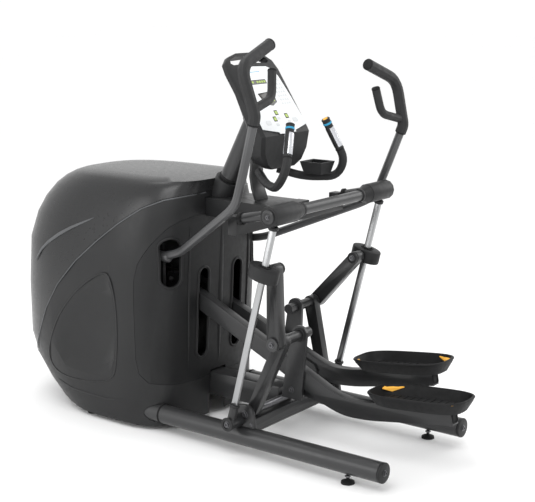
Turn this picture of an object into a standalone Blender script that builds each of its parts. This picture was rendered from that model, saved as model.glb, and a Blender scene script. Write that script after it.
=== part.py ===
"""Elliptical trainer: floor frame, rail-guided foot linkage, arm levers, console and drive housing.

Metres, +Z up, +Y forward (towards the drive housing), +X to the user's right.
Lengths along the machine are given as the distance forward of the floor tubes' rear ends.
Each side is +1 (right) or -1 (left).
"""

import math

import bmesh
import bpy
from mathutils import Matrix, Vector

# Driving dimensions
REAR_Y = -0.837         # floor tubes' rear ends, so that the origin is under the middle of the box
GAP = 0.0003            # between touching pieces
SIDES = {"left": -1, "right": 1}

# Floor frame
TUBE_X = 0.290
TUBE_R = 0.038
TUBE_Z = 0.075
TUBE_LENGTH = 1.54
BEAM_AT = 0.622
BEAM_Z = 0.1175
BRACKET_X = 0.290
BRACKET_THICK = 0.016

# Linkage: rocker pivot, knee, slider and rail, all in (distance forward, height)
PIVOT = (0.622, 0.165)
ROCKER = 0.332
ROCKER_REST = -24.7      # degrees from upright, positive leans forward
ROCKER_SWING = 36.8
POST = 0.2795
POST_REST = 1.2
POST_SWING = -43.9
LINK_SWING = 2.5
RAIL_FOOT = (0.645, 0.141)
RAIL_TOP = (0.436, 0.952)
RAIL_X = 0.354
RAIL_WIDE = 0.026
RAIL_THICK = 0.014
POST_X = 0.285
LEG_X = 0.2425
KNEE_R = 0.020
LINK_X = 0.107
PEDAL_X = 0.108

# Arm levers
LEVER_PIVOT = (1.120, 0.720)
LEVER_X = 0.434
LEVER_SWING = -8.2
LEVER_R = 0.0165
GRIP_R = 0.0225

# Drive
CRANK = (1.2445, 0.586)
CRANK_R = 0.1066
PULLEY_R = 0.150
FLYWHEEL = (1.610, 0.440)
FLYWHEEL_R = 0.170
SMALL_PULLEY_R = 0.026

# Housing
SHELL = 0.004
HOUSING_REAR = 0.955
HOUSING_FRONT = 1.905
HOUSING_HALF = 0.365
HOUSING_BASE = 0.020
HOUSING_TOP = 1.012
SLOT_X = 0.107
SLOT_HALF = 0.027
LEVER_SLOT_X = 0.262

# Console
CONSOLE_LOW = (0.640, 1.213)
CONSOLE_TILT = 35.0      # degrees that the face leans back from upright


def fwd(distance):
    return REAR_Y + distance


def vec(x, distance, z):
    return Vector((x, fwd(distance), z))


for old in list(bpy.data.objects):
    bpy.data.objects.remove(old)

parts = bpy.data.collections.new("elliptical_trainer")
cutters = bpy.data.collections.new("cutters")
for collection in (parts, cutters):
    bpy.context.scene.collection.children.link(collection)


def material(name, colour, roughness, metallic=0.0):
    mat = bpy.data.materials.new(name)
    mat.use_nodes = True
    shader = mat.node_tree.nodes["Principled BSDF"]
    shader.inputs["Base Color"].default_value = (*colour, 1)
    shader.inputs["Roughness"].default_value = roughness
    shader.inputs["Metallic"].default_value = metallic
    return mat


PAINT = material("frame_paint", (0.045, 0.047, 0.050), 0.38, 0.3)
CASE = material("housing_plastic", (0.035, 0.037, 0.040), 0.42)
TRIM = material("trim_plastic", (0.020, 0.021, 0.023), 0.50)
STEEL = material("rail_steel", (0.62, 0.63, 0.64), 0.28, 1.0)
FOAM = material("grip_foam", (0.030, 0.030, 0.032), 0.80)
RUBBER = material("foot_rubber", (0.015, 0.015, 0.016), 0.85)
YELLOW = material("marker_yellow", (0.90, 0.52, 0.06), 0.45)
WHITE = material("fascia_white", (0.82, 0.84, 0.85), 0.35)
BLUE = material("accent_blue", (0.05, 0.36, 0.62), 0.40)
SCREEN = material("screen_dark", (0.06, 0.07, 0.04), 0.20)
IRON = material("cast_iron", (0.16, 0.16, 0.17), 0.50, 0.8)
BELT = material("belt_rubber", (0.02, 0.02, 0.02), 0.70)


def add(name, data, mat, collection=parts):
    obj = bpy.data.objects.new(name, data)
    collection.objects.link(obj)
    data.materials.append(mat)
    return obj


def mesh_object(name, bm, mat, collection=parts, smooth=35):
    mesh = bpy.data.meshes.new(name)
    bmesh.ops.recalc_face_normals(bm, faces=bm.faces)
    bm.to_mesh(mesh)
    bm.free()
    obj = add(name, mesh, mat, collection)
    mesh.shade_smooth()
    mesh.set_sharp_from_angle(angle=math.radians(smooth))
    return obj


def bevel(obj, width, segments=2, angle=40):
    mod = obj.modifiers.new("edges", "BEVEL")
    mod.width = width
    mod.segments = segments
    mod.limit_method = "ANGLE"
    mod.angle_limit = math.radians(angle)
    return obj


def box(name, centre, size, mat, edge=0.0, turn=None, collection=parts):
    """A box of full size (x, y, z) about centre, turned by a rotation matrix."""
    bm = bmesh.new()
    bmesh.ops.create_cube(bm, size=1)
    bmesh.ops.scale(bm, vec=size, verts=bm.verts)
    place = Matrix.Translation(centre) @ (turn.to_4x4() if turn else Matrix.Identity(4))
    bmesh.ops.transform(bm, matrix=place, verts=bm.verts)
    obj = mesh_object(name, bm, mat, collection)
    if edge:
        bevel(obj, edge)
    return obj


def rod(name, start, end, radius, mat, edge=0.0, sides=24, tip_radius=None, collection=parts):
    """A round bar from start to end, tapering where tip_radius is given."""
    start, end = Vector(start), Vector(end)
    axis = end - start
    bm = bmesh.new()
    bmesh.ops.create_cone(bm, cap_ends=True, segments=sides, radius1=radius,
                          radius2=radius if tip_radius is None else tip_radius, depth=axis.length)
    turn = axis.to_track_quat("Z", "Y").to_matrix().to_4x4()
    bmesh.ops.transform(bm, matrix=Matrix.Translation((start + end) / 2) @ turn, verts=bm.verts)
    obj = mesh_object(name, bm, mat, collection)
    if edge:
        bevel(obj, edge)
    return obj


def rounded_path(points, radius, steps=5):
    """The points with each inner corner replaced by an arc-like run of a quadratic curve."""
    path = [Vector(points[0])]
    for before, corner, after in zip(points, points[1:], points[2:]):
        before, corner, after = Vector(before), Vector(corner), Vector(after)
        reach = min(radius, (before - corner).length * 0.48, (after - corner).length * 0.48)
        a = corner + (before - corner).normalized() * reach
        b = corner + (after - corner).normalized() * reach
        for i in range(steps + 1):
            t = i / steps
            path.append(a * (1 - t) ** 2 + corner * 2 * t * (1 - t) + b * t ** 2)
    path.append(Vector(points[-1]))
    return path


def tube(name, points, radius, mat, bend=0.05, steps=5, sides=3, collection=parts):
    """A bent round tube with closed ends through the points, with its corners rounded."""
    curve = bpy.data.curves.new(name, "CURVE")
    curve.dimensions = "3D"
    curve.bevel_depth = radius
    curve.bevel_resolution = sides
    curve.use_fill_caps = True
    path = rounded_path(points, bend, steps)
    spline = curve.splines.new("POLY")
    spline.points.add(len(path) - 1)
    for point, place in zip(spline.points, path):
        point.co = (*place, 1)
    return add(name, curve, mat, collection)


def as_mesh(obj, mat):
    """The curve object as a mesh object with its caps welded."""
    evaluated = obj.evaluated_get(bpy.context.evaluated_depsgraph_get())
    mesh = bpy.data.meshes.new_from_object(evaluated)
    bm = bmesh.new()
    bm.from_mesh(mesh)
    bmesh.ops.remove_doubles(bm, verts=bm.verts, dist=0.00001)
    bm.to_mesh(mesh)
    bm.free()
    mesh.materials.clear()
    name = obj.name
    home = obj.users_collection[0]
    matrix = obj.matrix_world.copy()
    bpy.data.objects.remove(obj)
    new = add(name, mesh, mat, home)
    new.name = name
    new.matrix_world = matrix
    return new


def plate(name, outline, x_from, x_to, mat, edge=0.0, holes=(), collection=parts):
    """A flat plate in the side view: outline and holes are (distance forward, height) points."""
    curve = bpy.data.curves.new(name, "CURVE")
    curve.dimensions = "2D"
    curve.fill_mode = "BOTH"
    curve.extrude = abs(x_to - x_from) / 2
    for ring in (outline, *holes):
        spline = curve.splines.new("POLY")
        spline.points.add(len(ring) - 1)
        for point, (along, height) in zip(spline.points, ring):
            point.co = (fwd(along), height, 0, 1)
        spline.use_cyclic_u = True
    obj = add(name, curve, mat, collection)
    obj.rotation_euler = (math.pi / 2, 0, math.pi / 2)
    obj.location.x = (x_from + x_to) / 2
    bpy.context.view_layer.update()
    obj = as_mesh(obj, mat)
    obj.data.transform(obj.matrix_world)
    obj.matrix_world = Matrix.Identity(4)
    obj.data.set_sharp_from_angle(angle=math.radians(35))
    if edge:
        bevel(obj, edge)
    return obj


def arc(centre, radius, start, end, steps=8):
    """Points on a circle in the side view, angles in degrees from forward towards up."""
    angles = [math.radians(start + (end - start) * i / steps) for i in range(steps + 1)]
    return [(centre[0] + radius * math.cos(a), centre[1] + radius * math.sin(a)) for a in angles]


def ring(centre, radius, count=20):
    return arc(centre, radius, 0, 360, count)[:-1]


def hull_outline(a, radius_a, b, radius_b, steps=8):
    """The outline around two circles of nearly equal size joined by straight flanks."""
    lean = math.degrees(math.atan2(b[1] - a[1], b[0] - a[0]))
    return arc(b, radius_b, lean - 90, lean + 90, steps) + arc(a, radius_a, lean + 90, lean + 270, steps)


def boolean(obj, other, operation="DIFFERENCE"):
    mod = obj.modifiers.new(operation.lower(), "BOOLEAN")
    mod.operation = operation
    mod.object = other
    return obj


def hide_cutter(obj):
    obj.hide_render = True
    obj.display_type = "WIRE"
    return obj


def apply_modifiers(obj):
    """Bakes the object's modifiers into its mesh."""
    bpy.context.view_layer.update()
    evaluated = obj.evaluated_get(bpy.context.evaluated_depsgraph_get())
    mesh = bpy.data.meshes.new_from_object(evaluated)
    obj.modifiers.clear()
    obj.data = mesh
    return obj


def weld(obj, *others):
    """Joins overlapping solids into one body."""
    for other in others:
        boolean(obj, other, "UNION").modifiers[-1].use_self = True
    apply_modifiers(obj)
    for other in others:
        bpy.data.objects.remove(other)
    obj.data.set_sharp_from_angle(angle=math.radians(35))
    return obj


def joint(name, x, place):
    """An empty on a joint's axis, for the moving pieces to hang from."""
    empty = bpy.data.objects.new(name, None)
    empty.location = vec(x, *place)
    empty.empty_display_size = 0.05
    parts.objects.link(empty)
    return empty


def carry(empty, pieces, parent=None):
    """Hangs pieces on the empty, and the empty on its own parent, without moving them."""
    bpy.context.view_layer.update()
    if parent:
        empty.parent = parent
        empty.matrix_parent_inverse = parent.matrix_world.inverted()
        bpy.context.view_layer.update()
    for piece in pieces:
        piece.parent = empty
        piece.matrix_parent_inverse = empty.matrix_world.inverted()


def lean(place, length, degrees):
    """The end of a bar of the given length that leans forward of upright by degrees."""
    a = math.radians(degrees)
    return (place[0] + length * math.sin(a), place[1] + length * math.cos(a))


def turned(place, about, degrees):
    """A side-view point turned about another, positive with its top going forward."""
    a = math.radians(degrees)
    along, up = place[0] - about[0], place[1] - about[1]
    return (about[0] + along * math.cos(a) + up * math.sin(a),
            about[1] - along * math.sin(a) + up * math.cos(a))


def tilt(degrees):
    """Rotation that leans an upright piece forward by degrees."""
    return Matrix.Rotation(-math.radians(degrees), 3, "X")


def along_rail(height):
    share = (RAIL_TOP[1] - height) / (RAIL_TOP[1] - RAIL_FOOT[1])
    return (RAIL_TOP[0] + (RAIL_FOOT[0] - RAIL_TOP[0]) * share, height)


RAIL_LEAN = -math.degrees(math.atan2(RAIL_FOOT[0] - RAIL_TOP[0], RAIL_TOP[1] - RAIL_FOOT[1]))


# ---------------------------------------------------------------- floor frame

def floor_frame():
    for label, s in SIDES.items():
        x = s * TUBE_X
        rod(f"floor_tube_{label}", vec(x, 0.012, TUBE_Z), vec(x, TUBE_LENGTH, TUBE_Z), TUBE_R, PAINT,
            sides=32)
        rod(f"end_cap_{label}", vec(x, 0, TUBE_Z), vec(x, 0.012 - GAP, TUBE_Z), TUBE_R + 0.0005, TRIM,
            edge=0.003, sides=32)
        for spot, at in (("rear", 0.155), ("front", 1.440)):
            leveller(f"foot_{spot}_{label}", x, at)
    inner = TUBE_X - TUBE_R - GAP
    beam = box("cross_beam", vec(0, BEAM_AT, BEAM_Z), (0.563, 0.050, 0.045), PAINT, edge=0.003)
    for label, s in SIDES.items():
        saddle = rod(f"beam_saddle_{label}", vec(s * TUBE_X, 0.5, TUBE_Z), vec(s * TUBE_X, 0.8, TUBE_Z),
                     TUBE_R + 0.0005, PAINT, sides=32, collection=cutters)
        boolean(beam, hide_cutter(saddle))
    apply_modifiers(beam)
    bar = rod("tie_bar", vec(-inner, 0.640, TUBE_Z), vec(inner, 0.640, TUBE_Z), 0.0125, PAINT)
    webs = [box("web", vec(x, 0.638, 0.090), (0.008, 0.018, 0.020), PAINT) for x in (-0.15, 0.15)]
    weld(beam, bar, *webs)
    cross = rod("front_cross_tube", vec(-inner, 1.50, TUBE_Z), vec(inner, 1.50, TUBE_Z), 0.025, PAINT)
    weld(cross, *[flywheel_stay(s) for s in SIDES.values()])
    spine_from = BEAM_AT + 0.025 + GAP
    box("spine_beam", vec(0, (spine_from + 1.53) / 2, 0.1505), (0.090, 1.53 - spine_from, 0.100), PAINT,
        edge=0.006)


def flywheel_stay(s):
    outline = [(1.480, TUBE_Z + 0.010), (1.520, TUBE_Z + 0.010)] + arc(FLYWHEEL, 0.028, -20, 160, 8)
    return plate("stay", outline, s * 0.074, s * 0.082, PAINT, holes=(ring(FLYWHEEL, 0.0103),))


def leveller(name, x, at):
    """A screw-in levelling foot: a stem with a round pad, turned as one profile."""
    profile = [(0.0, TUBE_Z - TUBE_R - GAP), (0.006, TUBE_Z - TUBE_R - GAP), (0.006, 0.016),
               (0.012, 0.014), (0.025, 0.008), (0.026, 0.0), (0.0, 0.0)]
    turned_solid(name, profile, vec(x, at, 0), RUBBER, steps=16)


def turned_solid(name, profile, centre, mat, steps=22, turn=None):
    """A solid of revolution about Z from (radius, height) points, top to bottom."""
    bm = bmesh.new()
    verts = [bm.verts.new((r, 0, z)) for r, z in profile]
    for a, b in zip(verts, verts[1:]):
        bm.edges.new((a, b))
    mesh = bpy.data.meshes.new(name)
    bm.to_mesh(mesh)
    bm.free()
    obj = add(name, mesh, mat)
    screw = obj.modifiers.new("turn", "SCREW")
    screw.steps = steps
    screw.render_steps = steps
    screw.use_merge_vertices = True
    screw.merge_threshold = 0.00001
    screw.use_smooth_shade = True
    apply_modifiers(obj)
    place = Matrix.Translation(centre) @ (turn.to_4x4() if turn else Matrix.Identity(4))
    obj.data.transform(place)
    obj.data.set_sharp_from_angle(angle=math.radians(35))
    return obj


def rail_supports():
    for label, s in SIDES.items():
        a = s * (BRACKET_X - BRACKET_THICK / 2)
        b = s * (BRACKET_X + BRACKET_THICK / 2)
        low = TUBE_Z + TUBE_R + GAP
        outline = [(0.575, low), (0.700, low), (0.690, 0.150)]
        outline += arc((0.645, 0.160), 0.040, 10, 70, 4)
        outline += arc(PIVOT, 0.038, 90, 175, 4)
        plate(f"rail_bracket_{label}", outline, a, b, PAINT, edge=0.002)
        x = s * (BRACKET_X + BRACKET_THICK / 2 + GAP)
        foot = rod(f"rail_foot_{label}", vec(x, *RAIL_FOOT), vec(s * 0.378, *RAIL_FOOT), 0.025, PAINT, edge=0.002)
        socket = rod("socket", vec(s * RAIL_X, *RAIL_FOOT), vec(s * RAIL_X, *lean(RAIL_FOOT, 0.078, RAIL_LEAN)),
                     0.0175, PAINT, tip_radius=0.0160)
        weld(foot, socket)
        rail_low = lean(RAIL_FOOT, 0.078 + GAP, RAIL_LEAN)
        rail_high = lean(RAIL_TOP, -0.033, RAIL_LEAN)
        middle = [(p + q) / 2 for p, q in zip(rail_low, rail_high)]
        length = math.dist(rail_low, rail_high)
        box(f"rail_{label}", vec(s * RAIL_X, *middle), (RAIL_THICK, RAIL_WIDE, length), STEEL, edge=0.003,
            turn=tilt(RAIL_LEAN))
    inner = BRACKET_X - BRACKET_THICK / 2 - GAP
    rod("pivot_shaft", vec(-inner, *PIVOT), vec(inner, *PIVOT), 0.014, STEEL)


def upper_frame():
    """Cross tube with its end blocks, the arms to the bridge, and the bridge on the housing."""
    axis = (RAIL_TOP[0], RAIL_TOP[1] + 0.012)
    rod("upper_cross_tube", vec(-0.205, *axis), vec(0.205, *axis), 0.021, PAINT)
    for label, s in SIDES.items():
        inner = s * (0.205 + GAP)
        neck = rod("neck", vec(inner, *axis), vec(s * 0.245, *axis), 0.026, TRIM, tip_radius=0.037, sides=12)
        block = rod(f"end_block_{label}", vec(s * 0.243, *axis), vec(s * 0.395, *axis), 0.039,
                    TRIM, edge=0.004, sides=12)
        flat = box(f"end_block_flat_{label}", vec(s * RAIL_X, RAIL_TOP[0], RAIL_TOP[1] - 0.077),
                   (0.30, 0.12, 0.100), TRIM, collection=cutters)
        weld(block, neck)
        boolean(block, hide_cutter(flat))
        apply_modifiers(block)
        rod(f"support_arm_{label}", vec(s * 0.350, 0.4805, 0.9595), vec(s * 0.338, 0.6085, 0.9310), 0.0185,
            PAINT, edge=0.002)
    bridge = bridge_form("bridge_cover", 0.0, CASE, parts)
    boolean(bridge, hide_cutter(mast_form("bridge_mast_bore", 0.0025)))
    for label, s in SIDES.items():
        relief = box(f"bridge_relief_{label}", vec(s * 0.209, 0.64, 0.945), (0.200, 0.12, 0.080), CASE,
                     collection=cutters)
        boolean(bridge, hide_cutter(relief))
    bevel(bridge, 0.010, 2)


# Bridge seen from above: x from the middle and distance forward
BRIDGE_OUTLINE = [(0.352, 0.6135), (0.352, 0.655), (0.100, 0.665), (0.100, 1.010)]
BRIDGE_LOW = 0.868
BRIDGE_HIGH = 0.940
MAST_LINE = ((1.0272, 0.8215), (0.7786, 1.2940))
MAST_R = 0.040


def bridge_form(name, grow, mat, collection):
    right = [(x + grow, y + (grow if y > 1 else -grow)) for x, y in BRIDGE_OUTLINE]
    outline = right + [(-x, y) for x, y in reversed(right)]
    bm = bmesh.new()
    loft(bm, [[vec(x, y, z) for x, y in outline] for z in (BRIDGE_LOW - grow, BRIDGE_HIGH + grow)])
    return mesh_object(name, bm, mat, collection)


def mast_form(name, grow, reach=0.0):
    low, high = vec(0, *MAST_LINE[0]), vec(0, *MAST_LINE[1])
    run = (high - low).normalized() * reach
    return rod(name, low - run, high + run, MAST_R + grow, PAINT, sides=28, collection=cutters)


# ---------------------------------------------------------------- moving foot linkage

def linkage():
    for label, s in SIDES.items():
        swung = 1 if label == "right" else 0
        rocker_angle = ROCKER_REST + swung * ROCKER_SWING
        post_angle = POST_REST + swung * POST_SWING
        knee = lean(PIVOT, ROCKER, rocker_angle)
        carriage = lean(knee, POST, post_angle)
        rocker_joint = joint(f"{label}_rocker_axis", s * LEG_X, PIVOT)
        carry(rocker_joint, rocker(label, s, knee, rocker_angle))
        post_joint = joint(f"{label}_post_axis", s * POST_X, knee)
        carry(post_joint, [post(label, s, knee, carriage, post_angle)], rocker_joint)
        slider_joint = joint(f"{label}_slider_axis", s * RAIL_X, carriage)
        carry(slider_joint, slider(label, s, carriage), post_joint)
        link_joint = joint(f"{label}_foot_link_axis", s * LINK_X, knee)
        carry(link_joint, foot_link(label, s, knee, swung * LINK_SWING), rocker_joint)


def rocker(label, s, knee, angle):
    leg = plate(f"rocker_leg_{label}", hull_outline(PIVOT, 0.0225, knee, 0.0265),
                s * (LEG_X - 0.0175), s * (LEG_X + 0.0175), PAINT, edge=0.004,
                holes=(ring(PIVOT, 0.0143),))
    shaft = rod("shaft", vec(s * 0.078, *knee), vec(s * 0.310, *knee), KNEE_R, PAINT, sides=24)
    cap = rod("cap", vec(s * 0.3068, *knee), vec(s * 0.3135, *knee), 0.0255, TRIM)
    return [weld(leg, shaft, cap)]


def post(label, s, knee, carriage, angle):
    """The upright between knee and slider: an eye at each end on one flat-sided bar."""
    outline = hull_outline(knee, 0.0285, carriage, 0.0235)
    return plate(f"post_{label}", outline, s * (POST_X - 0.021), s * (POST_X + 0.021), PAINT,
                 edge=0.005, holes=(ring(knee, KNEE_R + GAP), ring(carriage, 0.0133)))


def slider(label, s, carriage):
    """A rounded block that runs on the rail, with a pin inboard for the post."""
    turn = tilt(RAIL_LEAN)
    centre = vec(s * (RAIL_X - 0.001), *carriage)
    bm = bmesh.new()
    bmesh.ops.create_cone(bm, cap_ends=True, segments=28, radius1=0.5, radius2=0.5, depth=1)
    bmesh.ops.scale(bm, vec=(0.084, 0.128, 0.052), verts=bm.verts)
    bmesh.ops.transform(bm, matrix=Matrix.Translation(centre) @ turn.to_4x4(), verts=bm.verts)
    block = bevel(mesh_object(f"slider_block_{label}", bm, TRIM), 0.006, 2)
    window = box(f"slider_window_{label}", vec(s * RAIL_X, *carriage),
                 (RAIL_THICK + 0.008, RAIL_WIDE + 0.010, 0.10), TRIM, turn=turn, collection=cutters)
    boolean(block, hide_cutter(window))
    pin = rod("pin", vec(s * 0.328, *carriage), vec(s * 0.255, *carriage), 0.013, STEEL, sides=20)
    boss = rod("boss", vec(s * 0.2625, *carriage), vec(s * 0.250, *carriage), 0.023, TRIM, edge=0.003, sides=20)
    return [weld(block, pin, boss)]


# Foot link centre line from crank end to pedal end, in (forward, up) from the knee
LINK_LINE = [(0.603, 0.0985), (0.010, -0.1665), (-0.131, -0.232), (-0.205, -0.251), (-0.300, -0.247),
             (-0.655, -0.190)]


def foot_link(label, s, knee, swing):
    def at(place):
        return turned((knee[0] + place[0], knee[1] + place[1]), knee, swing)

    def link_plate(name, outline, x_from, x_to, mat, edge, holes=()):
        return plate(name, [at(p) for p in outline], s * x_from, s * x_to, mat, edge,
                     [[at(p) for p in hole] for hole in holes])

    line = [Vector((*p, 0)) for p in LINK_LINE]
    centre = [p.xy for p in rounded_path(line, 0.09, 4)]
    upper, lower = [], []
    for i, place in enumerate(centre):
        run = centre[min(i + 1, len(centre) - 1)] - centre[max(i - 1, 0)]
        out = Vector((run.y, -run.x)).normalized()
        top, low = place + out * 0.034, place - out * 0.034
        if top.y < low.y:
            top, low = low, top
        under = PEDAL_AT[1] + (PEDAL_AT[0] - top.x) * math.tan(math.radians(PEDAL_PITCH)) - PEDAL_DEEP - 0.0015
        if top.x < PEDAL_AT[0] + PEDAL_LONG / 2 + 0.01:
            top.y = min(top.y, under)
        upper.append(tuple(top))
        lower.append(tuple(low))
    beam = link_plate(f"foot_link_{label}", upper + lower[::-1], LINK_X - 0.0195, LINK_X + 0.0195, PAINT,
                      0.003)
    eye = (0.655, 0.122)
    end = link_plate("eye", hull_outline((0.590, 0.093), 0.030, eye, 0.034), LINK_X - 0.016, LINK_X + 0.016,
                     IRON, 0.0, [ring(eye, 0.0135)])
    hanger_outline = arc((0, 0), 0.036, 20, 160, 6)
    hanger_outline += [(-0.022, -0.130), (-0.010, -0.262), (0.082, -0.262), (0.060, -0.120)]
    hanger = link_plate("hanger", hanger_outline, LINK_X + 0.0185, LINK_X + 0.0305, PAINT, 0.0,
                        [ring((0, 0), KNEE_R + GAP)])
    gusset_outline = [(0.078, -0.245), (-0.100, -0.278), (-0.125, -0.262), (-0.132, -0.238), (-0.118, -0.215),
                      (0.070, -0.128)]
    gusset = link_plate("gusset", gusset_outline, LINK_X - 0.0300, LINK_X - 0.0185, PAINT, 0.0)
    return [weld(beam, end, hanger, gusset), pedal(label, s, at, swing)]


PEDAL_AT = (-0.515, -0.139)
PEDAL_PITCH = 4.9
PEDAL_LONG = 0.400
PEDAL_WIDE = 0.192
PEDAL_DEEP = 0.046


def pedal_ring(inset, bottom, count=32):
    """Points around the pedal: a long D with blunt corners, drawn in by inset."""
    half_l, half_w = PEDAL_LONG / 2 - inset, PEDAL_WIDE / 2 - inset
    points = []
    for i in range(count):
        a = 2 * math.pi * i / count
        c, q = math.cos(a), math.sin(a)
        power = 2 / 3.4
        x = half_w * math.copysign(abs(c) ** power, c)
        y = half_l * math.copysign(abs(q) ** power, q)
        points.append(Vector((x, y, bottom)))
    return points


def loft(bm, rings):
    """Joins rings of equal count into a closed skin with its two ends filled."""
    loops = [[bm.verts.new(p) for p in one] for one in rings]
    for low, high in zip(loops, loops[1:]):
        for i in range(len(low)):
            j = (i + 1) % len(low)
            bm.faces.new((low[i], low[j], high[j], high[i]))
    bm.faces.new(loops[0][::-1])
    bm.faces.new(loops[-1])


def pedal(label, s, at, swing):
    """A deep foot tray with sloping walls and two bright corner markers."""
    place = vec(s * PEDAL_X, *at(PEDAL_AT))
    turn = tilt(PEDAL_PITCH + swing).to_4x4()
    bm = bmesh.new()
    loft(bm, [pedal_ring(0.026, -PEDAL_DEEP), pedal_ring(0.004, -0.012), pedal_ring(0.0, 0.0),
              pedal_ring(0.008, 0.0), pedal_ring(0.026, -PEDAL_DEEP + 0.010)])
    bmesh.ops.transform(bm, matrix=Matrix.Translation(place) @ turn, verts=bm.verts)
    return mesh_object(f"pedal_{label}", bm, TRIM)


# ---------------------------------------------------------------- arm levers

# Lever points: x from the middle, then distance forward and height with the arm raised
LEVER_LINE = [(0.262, 1.060, 0.720), (0.268, 0.964, 0.745), (0.420, 0.590, 0.972), (0.436, 0.548, 1.010),
              (0.434, 0.509, 1.151), (0.434, 0.4728, 1.2935)]
GRIP_LINE = [(0.434, 0.4728, 1.2935), (0.434, 0.4655, 1.3220), (0.434, 0.527, 1.490), (0.238, 0.548, 1.559)]
INNER_GRIP_LINE = [(0.430, 0.476, 1.343), (0.300, 0.493, 1.372), (0.268, 0.516, 1.470)]


def levers():
    carrier = box("lever_carrier", vec(0, LEVER_PIVOT[0], 0.2205), (0.452, 0.060, 0.0394), PAINT)
    shelf = box("shelf", vec(0, 1.062, 0.796), (0.150, 0.150, 0.012), PAINT)
    crossbar = box("crossbar", vec(0, LEVER_PIVOT[0], 0.794), (0.4515, 0.058, 0.020), PAINT)
    stands, pins = [], []
    for label, s in SIDES.items():
        swing = LEVER_SWING if label == "right" else 0.0

        def at(points):
            return [vec(s * x, *turned((along, up), LEVER_PIVOT, swing)) for x, along, up in points]

        arm = as_mesh(tube(f"lever_tube_{label}", at(LEVER_LINE), LEVER_R, PAINT, bend=0.075), PAINT)
        hub = rod("hub", vec(s * 0.236, *LEVER_PIVOT), vec(s * 0.290, *LEVER_PIVOT), 0.026, IRON, edge=0.002)
        ends = at([(0.262, 1.0215, 0.7195), (0.262, 1.105, 0.7200)])
        knuckle = rod("knuckle", ends[0], ends[1], 0.0205, IRON, edge=0.004)
        weld(arm, hub, knuckle)
        bore = rod(f"lever_bore_{label}", vec(s * 0.22, *LEVER_PIVOT), vec(s * 0.31, *LEVER_PIVOT), 0.0103,
                   IRON, collection=cutters)
        boolean(arm, hide_cutter(bore))
        apply_modifiers(arm)
        start = Vector(GRIP_LINE[0])
        start += (Vector(GRIP_LINE[1]) - start).normalized() * GAP
        grip = as_mesh(tube(f"lever_grip_{label}", at([start, *GRIP_LINE[1:]]), GRIP_R, FOAM, bend=0.055), FOAM)
        inner = as_mesh(tube("inner", at(INNER_GRIP_LINE), 0.0165, FOAM, bend=0.035), FOAM)
        weld(grip, inner)
        pins.append(rod("pin", vec(s * 0.222, *LEVER_PIVOT), vec(s * 0.296, *LEVER_PIVOT), 0.010, STEEL))
        stands.append(box("stand", vec(s * 0.2183, LEVER_PIVOT[0], 0.510), (0.015, 0.060, 0.580), PAINT))
        carry(joint(f"{label}_lever_axis", s * 0.262, LEVER_PIVOT), [arm, grip])
    weld(carrier, crossbar, shelf, *stands, *pins)


# ---------------------------------------------------------------- drive inside the housing

def drive():
    frame = box("crank_bearing_frame", vec(0, CRANK[0], 0.2038), (0.079, 0.100, 0.006), PAINT)
    shaft = rod("crank", vec(-0.0525, *CRANK), vec(0.0525, *CRANK), 0.020, STEEL)
    pulley = plate("drive_pulley", ring(CRANK, PULLEY_R, 40), -0.012, 0.012, IRON,
                   holes=(ring(CRANK, 0.0203),))
    cheeks, cranks = [], []
    for s in SIDES.values():
        outline = [(CRANK[0] - 0.05, 0.203), (CRANK[0] + 0.05, 0.203)] + arc(CRANK, 0.045, 0, 180, 8)
        cheeks.append(plate("cheek", outline, s * 0.030, s * 0.0395, PAINT, holes=(ring(CRANK, 0.0205),)))
        pin_at = (CRANK[0] + s * CRANK_R, CRANK[1] - s * 0.003)
        cranks.append(plate("arm", hull_outline(CRANK, 0.030, pin_at, 0.024), s * 0.0405, s * 0.058, IRON))
        cranks.append(rod("pin", vec(s * 0.047, *pin_at), vec(s * 0.0735, *pin_at), 0.011, STEEL))
    weld(frame, *cheeks)
    weld(shaft, *cranks)
    carry(joint("crank_axis", 0, CRANK), [shaft, pulley])
    wheel = plate("flywheel", ring(FLYWHEEL, FLYWHEEL_R, 48), 0.022, 0.062, IRON, edge=0.003)
    small = plate("small", ring(FLYWHEEL, SMALL_PULLEY_R, 24), -0.012, 0.012, IRON)
    spindle = rod("spindle", vec(-0.085, *FLYWHEEL), vec(0.085, *FLYWHEEL), 0.010, STEEL)
    weld(wheel, small, spindle)
    carry(joint("flywheel_axis", 0, FLYWHEEL), [wheel])
    belt()


def belt():
    """A flat belt around both pulleys: two arcs joined by the outer tangents."""
    run = math.dist(CRANK, FLYWHEEL)
    slope = math.degrees(math.atan2(FLYWHEEL[1] - CRANK[1], FLYWHEEL[0] - CRANK[0]))
    spread = math.degrees(math.acos((PULLEY_R - SMALL_PULLEY_R) / run))

    def loop(extra):
        big = arc(CRANK, PULLEY_R + extra, slope + spread, slope + 360 - spread, 24)
        little = arc(FLYWHEEL, SMALL_PULLEY_R + extra, slope - spread, slope + spread, 8)
        return big + little

    plate("drive_belt", loop(0.0044), -0.009, 0.009, BELT, holes=(loop(0.0014),))


# ---------------------------------------------------------------- housing

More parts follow.
